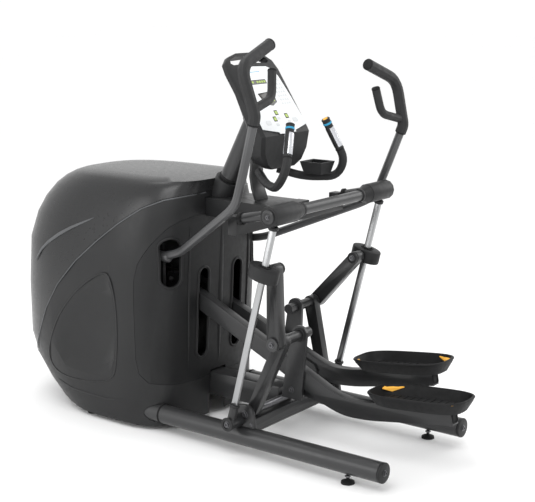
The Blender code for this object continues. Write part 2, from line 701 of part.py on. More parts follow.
def housing_ring(height, inset=0.0, count=48):
    """A level section of the housing: flat-backed at the rear and round at the front."""
    t = (height - HOUSING_BASE) / (HOUSING_TOP - HOUSING_BASE)
    belly = math.sin(math.pi * min(max(t, 0), 1)) ** 0.5
    low = max(0.0, 1 - t / 0.28)
    high = min(1.0, max(0.0, (height - 0.60) / 0.42))
    roll = 1 - math.sqrt(1 - high ** 2)
    half = HOUSING_HALF * (0.945 + 0.055 * belly) - 0.13 * roll
    front = HOUSING_FRONT - 0.24 * low ** 1.7 - 0.33 * roll
    rear = HOUSING_REAR + 0.050 * (1 - t) + 0.02 * high ** 3
    middle = (front + rear) / 2
    half_long = (front - rear) / 2
    points = []
    for i in range(count):
        a = 2 * math.pi * i / count
        c, q = math.cos(a), math.sin(a)
        power = 2 / (2.7 if q > 0 else 4.2)
        side_power = 2 / (3.0 if q > 0 else 3.6)
        x = (half - inset) * math.copysign(abs(c) ** side_power, c)
        y = (half_long - inset) * math.copysign(abs(q) ** power, q)
        points.append(vec(x, middle + y, height))
    return points


def housing_block(name, inset, mat):
    """The whole outside form, or the same form drawn in by the wall thickness."""
    bottom = HOUSING_BASE if inset <= 0 else HOUSING_BASE - 0.02
    span = HOUSING_TOP - HOUSING_BASE
    heights = [HOUSING_BASE + span * f for f in (0.03, 0.10, 0.18, 0.28, 0.50, 0.70, 0.81,
                                                 0.88, 0.935, 0.970, 0.990)]
    rings = [[Vector((p.x, p.y, bottom)) for p in housing_ring(HOUSING_BASE, inset)]]
    rings += [[Vector((p.x, p.y, h - (inset if h > 0.9 else 0))) for p in housing_ring(h, inset)]
              for h in heights]
    crown = housing_ring(HOUSING_TOP, inset)
    centre = sum(crown, Vector()) / len(crown)
    lift = Vector((0, 0, -inset))
    rings.append([p + lift for p in crown])
    rings.append([centre + (p - centre) * 0.72 + lift + Vector((0, 0, 0.007)) for p in crown])
    bm = bmesh.new()
    loft(bm, rings)
    return mesh_object(name, bm, mat, cutters)


# The seam between hood and side covers, seen from the side: a long arc that climbs towards the mast
SEAM = [(2.050, -0.100), (1.860, 0.080), (1.780, 0.205), (1.716, 0.306), (1.646, 0.439), (1.562, 0.556),
        (1.448, 0.673), (1.339, 0.763), (1.234, 0.844), (1.132, 0.912), (1.050, 0.948), (0.960, 0.968),
        (0.800, 0.985)]

# The rear panel's outline, seen from the side
REAR_PANEL = [(0.800, 0.186), (1.020, 0.190), (1.095, 0.203), (1.130, 0.238), (1.142, 0.300), (1.142, 0.620),
              (1.125, 0.690), (1.080, 0.765), (1.020, 0.840), (0.970, 0.880), (0.900, 0.912), (0.800, 0.935)]

# The hollow low on each side: outlines of its floor and of its mouth
HOLLOW_FLOOR = [(1.542, 0.295), (1.530, 0.337), (1.458, 0.448), (1.348, 0.540), (1.278, 0.572), (1.255, 0.547),
                (1.240, 0.465), (1.252, 0.284), (1.308, 0.244), (1.414, 0.238), (1.522, 0.255)]
HOLLOW_MOUTH = [(1.640, 0.220), (1.614, 0.310), (1.547, 0.431), (1.421, 0.560), (1.303, 0.633), (1.258, 0.621),
                (1.228, 0.480), (1.240, 0.250), (1.276, 0.189), (1.420, 0.162), (1.590, 0.165)]


def rounded_outline(points, rounds=1):
    """A closed outline with its corners cut back."""
    for _ in range(rounds):
        cut = []
        for a, b in zip(points, points[1:] + points[:1]):
            cut.append((a[0] * 0.75 + b[0] * 0.25, a[1] * 0.75 + b[1] * 0.25))
            cut.append((a[0] * 0.25 + b[0] * 0.75, a[1] * 0.25 + b[1] * 0.75))
        points = cut
    return points


def hollow_form(name, s, deeper):
    """A drafted plug that presses the hollow into a side, grown for the inner wall."""
    grow = 1.0 + deeper * 8
    rings = []
    for outline, x in ((HOLLOW_FLOOR, 0.348 - deeper), (HOLLOW_MOUTH, 0.370 - deeper)):
        outline = rounded_outline(outline)
        along = sum(p[0] for p in outline) / len(outline)
        up = sum(p[1] for p in outline) / len(outline)
        rings.append([vec(s * x, along + (p[0] - along) * grow, up + (p[1] - up) * grow) for p in outline])
    rings.append([p + Vector((s * 0.08, 0, 0)) for p in rings[-1]])
    bm = bmesh.new()
    loft(bm, rings)
    return hide_cutter(mesh_object(name, bm, CASE, cutters))


def housing():
    outer = hide_cutter(housing_block("housing_outer", 0.0, CASE))
    inner = hide_cutter(housing_block("housing_inner", SHELL, CASE))
    for label, s in SIDES.items():
        boolean(outer, hollow_form(f"hollow_outer_{label}", s, 0.0))
        boolean(inner, hollow_form(f"hollow_inner_{label}", s, 0.005))
    apply_modifiers(outer)
    apply_modifiers(inner)
    gap = GAP * 2
    side_region = [(p[0], p[1] - gap) for p in SEAM] + [(0.80, -0.20), (2.05, -0.20)]
    hood_region = [(p[0], p[1] + gap) for p in SEAM] + [(0.80, 1.10), (2.05, 1.10)]
    rear_edge = [(0.800, 0.186 - 2 * gap)] + [(p[0] + 2 * gap, p[1] - 2 * gap) for p in REAR_PANEL[1:6]]
    rear_edge += [(p[0] + 2 * gap, p[1] + gap) for p in REAR_PANEL[6:]]
    for label, s in SIDES.items():
        cover = shell_piece(f"side_cover_{label}", outer, inner, side_region, s * gap, s * 0.45)
        boolean(cover, hide_cutter(plate(f"rear_edge_{label}", rear_edge, -0.5, 0.5, CASE, collection=cutters)))
        hole = rod(f"tube_hole_{label}", vec(s * TUBE_X, 0.8, TUBE_Z), vec(s * TUBE_X, 1.3, TUBE_Z),
                   TUBE_R + 0.002, CASE, collection=cutters)
        boolean(cover, hide_cutter(hole))
        pass_through(cover)
        apply_modifiers(cover)
    hood = shell_piece("hood", outer, inner, hood_region, -0.45, 0.45)
    rear = shell_piece("rear_cover", outer, inner, REAR_PANEL, -0.45, 0.45)
    cut_slots(rear)
    for piece in (hood, rear):
        pass_through(piece)
        apply_modifiers(piece)


def pass_through(piece):
    """Openings for the spine, the bridge and the mast."""
    spine_hole = box(f"{piece.name}_spine_hole", vec(0, 1.0, 0.108), (0.100, 0.30, 0.20), CASE,
                     collection=cutters)
    boolean(piece, hide_cutter(spine_hole))
    boolean(piece, hide_cutter(bridge_form(f"{piece.name}_bridge_opening", 0.0015, CASE, cutters)))
    boolean(piece, hide_cutter(mast_form(f"{piece.name}_mast_bore", 0.003)))


def shell_piece(name, outer, inner, region, x_from, x_to):
    """The part of the housing's wall that lies in a side-view region between two widths."""
    piece = plate(name, region, x_from, x_to, CASE)
    boolean(piece, outer, "INTERSECT")
    boolean(piece, inner, "DIFFERENCE")
    return piece


def stadium(x, low, high, half, y_from, y_to, name):
    """A cutter for an upright slot with round ends, running along the machine."""
    bm = bmesh.new()
    outline = []
    for centre_z, start in ((high - half, 0), (low + half, 180)):
        for i in range(9):
            a = math.radians(start + 180 * i / 8)
            outline.append((x + half * math.cos(a), centre_z + half * math.sin(a)))
    loft(bm, [[Vector((px, fwd(y_from), pz)) for px, pz in outline],
              [Vector((px, fwd(y_to), pz)) for px, pz in outline]])
    return hide_cutter(mesh_object(name, bm, CASE, cutters))


def cut_slots(rear):
    for label, s in SIDES.items():
        boolean(rear, stadium(s * SLOT_X, 0.285, 0.655, SLOT_HALF, 0.85, 1.15, f"long_slot_{label}"))
        boolean(rear, stadium(s * LEVER_SLOT_X, 0.600, 0.790, 0.033, 0.85, 1.15, f"short_slot_{label}"))


# ---------------------------------------------------------------- mast and console

def face_frame():
    """Axes of the console face: across, up the face, and out of the face towards the user."""
    a = math.radians(CONSOLE_TILT)
    across = Vector((1, 0, 0))
    up = Vector((0, math.sin(a), math.cos(a)))
    out = Vector((0, -math.cos(a), math.sin(a)))
    return across, up, out


def on_face(x, up_by, out_by):
    across, up, out = face_frame()
    return vec(0, *CONSOLE_LOW) + across * x + up * up_by + out * out_by


def face_turn():
    across, up, out = face_frame()
    return Matrix((across, up, out)).transposed()


def face_plate(name, outline, out_from, out_to, mat, edge=0.0, holes=(), collection=parts):
    """A flat plate lying on the console face, from (across, up the face) points."""
    curve = bpy.data.curves.new(name, "CURVE")
    curve.dimensions = "2D"
    curve.fill_mode = "BOTH"
    curve.extrude = (out_to - out_from) / 2
    for one in (outline, *holes):
        spline = curve.splines.new("POLY")
        spline.points.add(len(one) - 1)
        for point, (x, y) in zip(spline.points, one):
            point.co = (x, y, 0, 1)
        spline.use_cyclic_u = True
    obj = add(name, curve, mat, collection)
    obj.matrix_world = Matrix.Translation(on_face(0, 0, (out_from + out_to) / 2)) @ face_turn().to_4x4()
    bpy.context.view_layer.update()
    obj = as_mesh(obj, mat)
    obj.data.transform(obj.matrix_world)
    obj.matrix_world = Matrix.Identity(4)
    obj.data.set_sharp_from_angle(angle=math.radians(35))
    if edge:
        bevel(obj, edge)
    return obj


def mirrored(half):
    """A closed outline from its right half, listed from the top middle down."""
    return half + [(-x, y) for x, y in reversed(half) if x > 0.0001]


# Console from the bottom up: front point, back point (distance forward, height) and half width
CONSOLE_SECTIONS = [
    ((0.661, 1.077), (0.712, 1.080), 0.078),
    ((0.653, 1.100), (0.732, 1.098), 0.118),
    ((0.647, 1.145), (0.742, 1.128), 0.146),
    ((0.6395, 1.2090), (0.7180, 1.190), 0.153),
    ((0.6673, 1.2520), (0.7301, 1.211), 0.156),
    ((0.7534, 1.3749), (0.7860, 1.3535), 0.158),
    ((0.8023, 1.4446), (0.8305, 1.4261), 0.160),
    ((0.8252, 1.4773), (0.8534, 1.4588), 0.150),
    ((0.8398, 1.4982), (0.8652, 1.4815), 0.118),
    ((0.8499, 1.5100), (0.8720, 1.4955), 0.060)]


def console():
    mast = mast_form("mast", 0.0)
    parts.objects.link(mast)
    cutters.objects.unlink(mast)
    low, high = Vector(MAST_LINE[0]), Vector(MAST_LINE[1])
    run = (high - low).normalized()
    collar_low, collar_high = low + run * 0.120, low + run * 0.210
    collar = rod("mast_collar", vec(0, *collar_low), vec(0, *collar_high), 0.062, TRIM, tip_radius=0.054,
                 sides=28)
    boolean(collar, hide_cutter(mast_form("collar_bore", GAP, 0.1)))
    boolean(collar, hide_cutter(bridge_form("collar_seat", 0.0005, TRIM, cutters)))
    boolean(collar, hide_cutter(housing_block("collar_relief", -0.0006, TRIM)))
    apply_modifiers(collar)
    strut_line = [(0.772, 1.150), (0.789, 1.090), (0.7945, 1.034), (0.786, 0.985), (0.768, BRIDGE_HIGH + GAP)]
    outline = [(p[0] + 0.006, p[1]) for p in strut_line] + [(p[0] - 0.006, p[1]) for p in strut_line[::-1]]
    plate("console_strut", outline, -0.038, 0.038, PAINT, edge=0.002)

    rings = []
    for front, back, half in CONSOLE_SECTIONS:
        front, back = Vector((0, fwd(front[0]), front[1])), Vector((0, fwd(back[0]), back[1]))
        depth = back - front
        ring_points = []
        for across, share in ((-1, 0.14), (-0.92, 0), (-0.5, 0), (0, 0), (0.5, 0), (0.92, 0), (1, 0.14), (1, 0.60),
                              (0.80, 1), (0.4, 1), (0, 1), (-0.4, 1), (-0.80, 1), (-1, 0.60)):
            ring_points.append(front + depth * share + Vector((half * across, 0, 0)))
        rings.append(ring_points)
    bm = bmesh.new()
    loft(bm, rings)
    shell = mesh_object("console_shell", bm, TRIM)
    window_half = [(0.0, 0.350), (0.080, 0.347), (0.112, 0.334), (0.118, 0.320), (0.105, 0.312), (0.0, 0.316)]
    window = face_plate("handle_window", mirrored(window_half), -0.20, 0.10, TRIM, collection=cutters)
    boolean(shell, hide_cutter(window))
    boolean(shell, hide_cutter(mast_form("console_seat", 0.0012, 0.0012)))
    apply_modifiers(shell)
    fascia_half = [(0.0, 0.298), (0.078, 0.294), (0.108, 0.280), (0.124, 0.246), (0.135, 0.150), (0.140, 0.026),
                   (0.052, 0.006), (0.052, -0.001), (0.0, -0.003)]
    face_plate("fascia", mirrored(fascia_half), 0.0008, 0.0038, WHITE, edge=0.001)
    tray()
    bars()


def tray():
    """An open accessory tray under the right side of the console."""
    centre = vec(0.128, 0.590, 1.070)
    rings = []
    for inset, height in ((0.012, -0.024), (0.0, 0.024), (0.006, 0.024), (0.016, -0.016)):
        w, d = 0.046 - inset, 0.052 - inset
        rings.append([centre + Vector((x * w, y * d, height)) for x, y in ((-1, -1), (1, -1), (1, 1), (-1, 1))])
    bm = bmesh.new()
    loft(bm, rings)
    mesh_object("accessory_tray", bm, TRIM)


BAR_LINE = [(0.060, 0.735, 1.060), (0.125, 0.650, 1.028), (0.200, 0.545, 1.030), (0.195, 0.505, 1.100),
            (0.115, 0.545, 1.262)]


def bars():
    """Fixed grips, each with a thumb button that presses into a bore in its end."""
    for label, s in SIDES.items():
        points = [vec(s * x, along, up) for x, along, up in BAR_LINE]
        bar = as_mesh(tube(f"fixed_bar_{label}", points, 0.0165, FOAM, bend=0.05), FOAM)
        a, b = points[-2], points[-1]
        run = (b - a).normalized()
        bore = rod(f"button_bore_{label}", b - run * 0.009, b + run * 0.02, 0.0105, FOAM, sides=20,
                   collection=cutters)
        boolean(bar, hide_cutter(bore))
        apply_modifiers(bar)
        button = rod(f"thumb_button_{label}", b - run * 0.005, b + run * 0.0035, 0.010, YELLOW, edge=0.002,
                     sides=20)
        carry(joint(f"{label}_button_axis", s * BAR_LINE[-1][0], BAR_LINE[-1][1:]), [button])


floor_frame()
rail_supports()
upper_frame()
linkage()
levers()
drive()
housing()
console()
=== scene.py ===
"""Looks for the elliptical trainer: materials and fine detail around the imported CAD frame.

Lengths along the machine are given forward of the floor tubes' rear ends, as in the CAD.
Each side is +1 (the user's right) or -1 (left).
"""

import math

import bmesh
import bpy
from mathutils import Matrix, Vector


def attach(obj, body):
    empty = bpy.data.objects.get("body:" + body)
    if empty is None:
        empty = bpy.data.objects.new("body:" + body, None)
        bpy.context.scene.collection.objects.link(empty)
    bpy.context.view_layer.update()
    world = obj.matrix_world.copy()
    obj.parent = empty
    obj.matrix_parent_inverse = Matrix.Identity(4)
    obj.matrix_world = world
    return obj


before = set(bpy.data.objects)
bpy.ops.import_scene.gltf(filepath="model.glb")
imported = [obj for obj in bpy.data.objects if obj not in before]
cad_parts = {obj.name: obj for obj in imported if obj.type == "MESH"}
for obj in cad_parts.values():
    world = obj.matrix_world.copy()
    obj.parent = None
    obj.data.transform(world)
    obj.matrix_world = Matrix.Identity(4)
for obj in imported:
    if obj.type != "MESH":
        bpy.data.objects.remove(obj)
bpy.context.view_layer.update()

REAR_Y = -0.837
SIDES = {"left": -1, "right": 1}
PIVOT = (0.622, 0.165)
ROCKER = 0.332
ROCKER_ANGLE = {"left": -24.7, "right": 12.1}
LINK_ANGLE = {"left": 0.0, "right": 2.5}
LEVER_PIVOT = (1.120, 0.720)
LEVER_ANGLE = {"left": 0.0, "right": -8.2}
PEDAL_PITCH = 4.9

TUBE_X = 0.290
RAIL_X = 0.354
RAIL_LEAN = -14.45
RAIL_FOOT = (0.645, 0.141)
RAIL_TOP = (0.436, 0.952)
LINK_X = 0.107
SLOT_X = 0.107
LEVER_SLOT_X = 0.262
SHARP_ANGLE = 32


def fwd(distance):
    return REAR_Y + distance


def vec(x, distance, z):
    return Vector((x, fwd(distance), z))


def lean(place, length, degrees):
    a = math.radians(degrees)
    return (place[0] + length * math.sin(a), place[1] + length * math.cos(a))


def turned(place, about, degrees):
    a = math.radians(degrees)
    along, up = place[0] - about[0], place[1] - about[1]
    return (about[0] + along * math.cos(a) + up * math.sin(a),
            about[1] - along * math.sin(a) + up * math.cos(a))


KNEE = {side: lean(PIVOT, ROCKER, angle) for side, angle in ROCKER_ANGLE.items()}


# ---------------------------------------------------------------- materials

def nodes_of(name):
    mat = bpy.data.materials.new(name)
    mat.use_nodes = True
    tree = mat.node_tree
    return mat, tree, tree.nodes["Principled BSDF"]


def noise(tree, scale, detail=3.0, stretch=(1, 1, 1)):
    coords = tree.nodes.new("ShaderNodeTexCoord")
    mapping = tree.nodes.new("ShaderNodeMapping")
    mapping.inputs["Scale"].default_value = stretch
    texture = tree.nodes.new("ShaderNodeTexNoise")
    texture.inputs["Scale"].default_value = scale
    texture.inputs["Detail"].default_value = detail
    tree.links.new(coords.outputs["Object"], mapping.inputs["Vector"])
    tree.links.new(mapping.outputs["Vector"], texture.inputs["Vector"])
    return texture.outputs["Fac"]


def ramp(tree, source, low, high, start=0.3, end=0.7):
    node = tree.nodes.new("ShaderNodeValToRGB")
    node.color_ramp.elements[0].position = start
    node.color_ramp.elements[1].position = end
    node.color_ramp.elements[0].color = (*low, 1)
    node.color_ramp.elements[1].color = (*high, 1)
    tree.links.new(source, node.inputs["Fac"])
    return node.outputs["Color"]


def spread(tree, source, low, high):
    node = tree.nodes.new("ShaderNodeMapRange")
    node.inputs["From Min"].default_value = 0.3
    node.inputs["From Max"].default_value = 0.7
    node.inputs["To Min"].default_value = low
    node.inputs["To Max"].default_value = high
    tree.links.new(source, node.inputs["Value"])
    return node.outputs["Result"]


def bump(tree, source, strength, distance):
    node = tree.nodes.new("ShaderNodeBump")
    node.inputs["Strength"].default_value = strength
    node.inputs["Distance"].default_value = distance
    tree.links.new(source, node.inputs["Height"])
    return node.outputs["Normal"]


def finish_material(name, colour, roughness, vary=0.15, metallic=0.0, grain=900, grain_depth=0.00006,
                    grain_strength=0.35, broad=6, coat=0.0, stretch=(1, 1, 1), edge=0.0,
                    edge_colour=None, gloss=0.5):
    """A surface with broad tone changes, a fine grain, and lighter sharp convex edges where edge is given."""
    mat, tree, shader = nodes_of(name)
    wide = noise(tree, broad, 4)
    dark = tuple(c * (1 - vary) for c in colour)
    light = tuple(min(1, c * (1 + vary)) for c in colour)
    tone = ramp(tree, wide, dark, light)
    if edge:
        # Sharp convex edges, picked out by pointiness, get a lighter colour.
        geometry = tree.nodes.new("ShaderNodeNewGeometry")
        sharp = ramp(tree, geometry.outputs["Pointiness"], (0, 0, 0), (edge,) * 3, 0.52, 0.60)
        mix = tree.nodes.new("ShaderNodeMix")
        mix.data_type = "RGBA"
        tree.links.new(sharp, mix.inputs["Factor"])
        tree.links.new(tone, mix.inputs["A"])
        lighter_edge = edge_colour or tuple(min(1, c * 2.2 + 0.02) for c in colour)
        mix.inputs["B"].default_value = (*lighter_edge, 1)
        tone = mix.outputs["Result"]
    tree.links.new(tone, shader.inputs["Base Color"])
    tree.links.new(spread(tree, noise(tree, broad * 9, 5, stretch), roughness * 0.86, roughness * 1.14),
                   shader.inputs["Roughness"])
    tree.links.new(bump(tree, noise(tree, grain, 3, stretch), grain_strength, grain_depth),
                   shader.inputs["Normal"])
    shader.inputs["Metallic"].default_value = metallic
    shader.inputs["Specular IOR Level"].default_value = gloss
    if coat:
        shader.inputs["Coat Weight"].default_value = coat
        shader.inputs["Coat Roughness"].default_value = 0.18
    return mat


def glow_glass(name, colour, strength):
    mat, tree, shader = nodes_of(name)
    tone = ramp(tree, noise(tree, 220, 2), tuple(c * 0.75 for c in colour), colour)
    tree.links.new(tone, shader.inputs["Base Color"])
    shader.inputs["Roughness"].default_value = 0.25
    shader.inputs["Emission Color"].default_value = (*colour, 1)
    shader.inputs["Emission Strength"].default_value = strength
    return mat


HOOD = finish_material("hood_plastic", (0.0130, 0.0132, 0.0138), 0.30, 0.08, grain=700, coat=0.06, edge=0.2,
                       gloss=0.38)
CASE = finish_material("case_plastic", (0.0110, 0.0112, 0.0117), 0.40, 0.10, grain=650,
                       grain_depth=0.0001, grain_strength=0.45, edge=0.2, gloss=0.32)
# Rear cover plastic, darker than the case plastic: the extra darkness is mostly painted shade on the rear of
# the housing.
SHADED_REAR = finish_material("rear_plastic_painted_shade", (0.0085, 0.0087, 0.0092), 0.46, 0.12, grain=650,
                       grain_depth=0.0001, grain_strength=0.45, edge=0.25, gloss=0.26)
TRIM = finish_material("trim_plastic", (0.0095, 0.0097, 0.0102), 0.48, 0.12, grain=800,
                       grain_depth=0.0001, grain_strength=0.5, edge=0.3, gloss=0.28)
MOULD = finish_material("pedal_plastic", (0.0055, 0.0056, 0.0060), 0.55, 0.15, grain=800,
                        grain_depth=0.0001, grain_strength=0.5, edge=0.2, gloss=0.20)
PAINT = finish_material("frame_paint", (0.0190, 0.0193, 0.0200), 0.32, 0.10, metallic=0.1, grain=420,
                        grain_depth=0.00008, coat=0.08, edge=0.3, gloss=0.42)
LEVER = finish_material("lever_paint", (0.0480, 0.0485, 0.0500), 0.34, 0.08, metallic=0.1, grain=420,
                        grain_depth=0.00008, coat=0.12, edge=0.25, gloss=0.45)
STEEL = finish_material("rail_steel", (0.36, 0.365, 0.37), 0.30, 0.06, metallic=1.0, grain=300,
                        grain_depth=0.00004, stretch=(14, 14, 0.4), edge=0.2, edge_colour=(0.5, 0.5, 0.5))
BOLT = finish_material("bolt_steel", (0.10, 0.10, 0.105), 0.30, 0.15, metallic=0.9, grain=500, edge=0.4)
FOAM = finish_material("grip_foam", (0.0170, 0.0172, 0.0178), 0.60, 0.14, grain=1500,
                       grain_depth=0.0002, grain_strength=0.7, gloss=0.35)
RUBBER = finish_material("rubber", (0.0070, 0.0070, 0.0074), 0.70, 0.2, grain=1100, grain_depth=0.00015,
                         grain_strength=0.6, gloss=0.25)
YELLOW = finish_material("marker_yellow", (0.86, 0.42, 0.030), 0.42, 0.08, grain=900)
WHITE = finish_material("fascia_white", (0.78, 0.80, 0.81), 0.33, 0.02, grain=900, grain_depth=0.00003)
GREY = finish_material("print_grey", (0.60, 0.62, 0.63), 0.40, 0.04, grain=900)
BLUE = finish_material("accent_blue", (0.020, 0.300, 0.520), 0.35, 0.08, grain=900)
SILVER = finish_material("sensor_silver", (0.62, 0.63, 0.66), 0.24, 0.05, metallic=0.9, grain=500)
IRON = finish_material("cast_iron", (0.14, 0.14, 0.15), 0.50, 0.18, metallic=0.8, grain=260,
                       grain_depth=0.0003, edge=0.4)
DARK = finish_material("screen_dark", (0.020, 0.018, 0.014), 0.14, 0.1, grain=300)
GREEN = glow_glass("lcd_green", (0.30, 0.42, 0.06), 0.25)
# A lighter grey for the seam bead and the side sweep: painted highlight along these edges.
HIGHLIGHT_GREY = finish_material("painted_highlight_grey", (0.085, 0.088, 0.092), 0.35, 0.1, metallic=0.3, grain=700)

NODE_MATERIALS = {
    "hood": HOOD, "side_cover": CASE, "rear_cover": SHADED_REAR, "bridge": CASE, "end_cap": TRIM, "pedal": MOULD,
    "lever_tube": LEVER,
    "slider": TRIM, "console_shell": TRIM, "accessory": TRIM, "mast_collar": TRIM, "end_block": TRIM,
    "rail_left": STEEL, "rail_right": STEEL, "pivot_shaft": BOLT, "crank_bearing": PAINT, "crank": STEEL,
    "lever_grip": FOAM, "fixed_bar": FOAM, "foot_front": RUBBER, "foot_rear": RUBBER, "thumb": YELLOW,
    "fascia": WHITE, "drive_pulley": IRON, "flywheel": IRON, "drive_belt": RUBBER}


def dress_frame():
    for name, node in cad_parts.items():
        match = [key for key in NODE_MATERIALS if name.startswith(key)]
        mat = NODE_MATERIALS[max(match, key=len)] if match else PAINT
        for i in range(len(node.material_slots)):
            node.material_slots[i].material = mat


def smoothing_group():
    """Shades the welded faces smoothly, and keeps edges over SHARP_ANGLE degrees sharp."""
    tree = bpy.data.node_groups.new("soft_shading", "GeometryNodeTree")
    tree.interface.new_socket("Geometry", in_out="INPUT", socket_type="NodeSocketGeometry")
    tree.interface.new_socket("Geometry", in_out="OUTPUT", socket_type="NodeSocketGeometry")
    start, end = tree.nodes.new("NodeGroupInput"), tree.nodes.new("NodeGroupOutput")
    drop = tree.nodes.new("GeometryNodeRemoveAttribute")
    drop.inputs["Name"].default_value = "custom_normal"
    faces = tree.nodes.new("GeometryNodeSetShadeSmooth")
    edges = tree.nodes.new("GeometryNodeSetShadeSmooth")
    edges.domain = "EDGE"
    angle = tree.nodes.new("GeometryNodeInputMeshEdgeAngle")
    gentle = tree.nodes.new("FunctionNodeCompare")
    gentle.operation = "LESS_THAN"
    gentle.inputs["B"].default_value = math.radians(SHARP_ANGLE)
    tree.links.new(start.outputs[0], drop.inputs["Geometry"])
    tree.links.new(drop.outputs["Geometry"], faces.inputs["Geometry"])
    tree.links.new(faces.outputs["Geometry"], edges.inputs["Geometry"])
    tree.links.new(angle.outputs["Unsigned Angle"], gentle.inputs["A"])
    tree.links.new(gentle.outputs["Result"], edges.inputs["Shade Smooth"])
    tree.links.new(edges.outputs["Geometry"], end.inputs[0])
    return tree


def smooth_frame():
    group = smoothing_group()
    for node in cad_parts.values():
        weld = node.modifiers.new("weld", "WELD")
        weld.merge_threshold = 0.00001
        soft = node.modifiers.new("soft_shading", "NODES")
        soft.node_group = group


# ---------------------------------------------------------------- piece helpers

def place(name, mesh, mat, body, smooth=40, slot="trim_plastic"):
    obj = bpy.data.objects.new(name, mesh)
    bpy.context.scene.collection.objects.link(obj)
    mesh.materials.append(mat)
    mesh.shade_smooth()
    mesh.set_sharp_from_angle(angle=math.radians(smooth))
    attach(obj, body)
    return obj


def to_mesh(name, bm):
    mesh = bpy.data.meshes.new(name)
    bmesh.ops.recalc_face_normals(bm, faces=bm.faces)
    bm.to_mesh(mesh)
    bm.free()
    return mesh


def loft(rings, closed=True, caps=True):
    bm = bmesh.new()
    loops = [[bm.verts.new(p) for p in ring] for ring in rings]
    count = len(loops[0])
    for low, high in zip(loops, loops[1:]):
        for i in range(count if closed else count - 1):
            j = (i + 1) % count
            bm.faces.new((low[i], low[j], high[j], high[i]))
    if caps:
        bm.faces.new(loops[0][::-1])
        bm.faces.new(loops[-1])
    return bm


def lathe(name, profile, centre, axis, mat, body, steps=28, slot="trim_plastic"):
    """A turned piece from (radius, height) points up the axis, closed at both ends."""
    turn = Vector(axis).normalized().to_track_quat("Z", "Y").to_matrix()
    rings = []
    for radius, height in profile:
        ring = [turn @ Vector((radius * math.cos(2 * math.pi * i / steps),
                               radius * math.sin(2 * math.pi * i / steps), height)) for i in range(steps)]
        rings.append([Vector(centre) + p for p in ring])
    return place(name, to_mesh(name, loft(rings)), mat, body, slot=slot)


def bolt(name, centre, axis, radius, body, mat=None):
    """A socket-head bolt with a washer and a hollow hexagon."""
    mat = mat or BOLT
    steps = 24
    turn = Vector(axis).normalized().to_track_quat("Z", "Y").to_matrix()
    rings = []
    profile = [(1.45, 0.0), (1.45, 0.16), (1.35, 0.22), (1.0, 0.22), (1.0, 0.62), (0.9, 0.76), (0.58, 0.76),
               (0.52, 0.70), (0.50, 0.34), (0.10, 0.30)]
    for share, height in profile:
        ring = []
        for i in range(steps):
            a = 2 * math.pi * i / steps
            r = radius * share
            if share < 0.55:
                r *= math.cos(math.pi / 6) / math.cos((a % (math.pi / 3)) - math.pi / 6)
            ring.append(Vector(centre) + turn @ Vector((r * math.cos(a), r * math.sin(a), radius * height)))
        rings.append(ring)
    return place(name, to_mesh(name, loft(rings)), mat, body, smooth=30, slot="rail_steel")


def collar(name, start, axis, inner, outer, length, mat, body, slot="trim_plastic"):
    """A rounded ring around a bar."""
    soft = min(length * 0.3, (outer - inner) * 0.6)
    steps = 32
    turn = Vector(axis).normalized().to_track_quat("Z", "Y").to_matrix()
    profile = [(inner, 0), (outer - soft, 0), (outer, soft), (outer, length - soft), (outer - soft, length),
               (inner, length)]
    rings = []
    for radius, height in profile:
        rings.append([Vector(start) + turn @ Vector((radius * math.cos(2 * math.pi * i / steps),
                                                     radius * math.sin(2 * math.pi * i / steps), height))
                      for i in range(steps)])
    rings.append(rings[0])
    bm = loft(rings, caps=False)
    bmesh.ops.remove_doubles(bm, verts=bm.verts, dist=0.00002)
    return place(name, to_mesh(name, bm), mat, body, slot=slot)


# ---------------------------------------------------------------- housing surfaces

HOUSING_BASE, HOUSING_TOP = 0.020, 1.012


def housing_section(z):
    """Half width, front and rear of the housing at a height, as in the CAD."""
    t = (z - HOUSING_BASE) / (HOUSING_TOP - HOUSING_BASE)
    belly = math.sin(math.pi * min(max(t, 0), 1)) ** 0.5
    low = max(0.0, 1 - t / 0.28)
    high = min(1.0, max(0.0, (z - 0.60) / 0.42))
    roll = 1 - math.sqrt(1 - high ** 2)
    half = 0.365 * (0.945 + 0.055 * belly) - 0.13 * roll
    front = 1.905 - 0.24 * low ** 1.7 - 0.33 * roll
    rear = 0.955 + 0.050 * (1 - t) + 0.02 * high ** 3
    return half, front, rear


def side_surface(side):
    def at(along, z):
        half, front, rear = housing_section(z)
        middle, reach = (front + rear) / 2, (front - rear) / 2
        y = (along - middle) / reach
        ey, ex = (2.7, 3.0) if y > 0 else (4.2, 3.6)
        share = max(0.0, 1 - abs(y) ** ey) ** (1 / ex)
        return vec(side * half * share, along, z)
    return at


def rear_surface(x, z):
    half, front, rear = housing_section(z)
    middle, reach = (front + rear) / 2, (front - rear) / 2
    share = max(0.0, 1 - min(1, abs(x) / half) ** 3.6) ** (1 / 4.2)
    return vec(x, middle - reach * share, z)


def surface_frame(surface, u, v):
    step = 0.004
    du = surface(u + step, v) - surface(u - step, v)
    dv = surface(u, v + step) - surface(u, v - step)
    normal = du.cross(dv).normalized()
    return surface(u, v), normal


def outward(surface, u, v, away_from):
    point, normal = surface_frame(surface, u, v)
    if normal.dot(point - away_from) < 0:
        normal = -normal
    return point, normal


HEART = vec(0, 1.43, 0.5)


def densify(path, closed, step=0.012):
    out = []
    count = len(path) if closed else len(path) - 1
    for i in range(count):
        a, b = path[i], path[(i + 1) % len(path)]
        parts = max(1, int(math.dist(a, b) / step))
        out += [(a[0] + (b[0] - a[0]) * k / parts, a[1] + (b[1] - a[1]) * k / parts) for k in range(parts)]
    if not closed:
        out.append(path[-1])
    return out


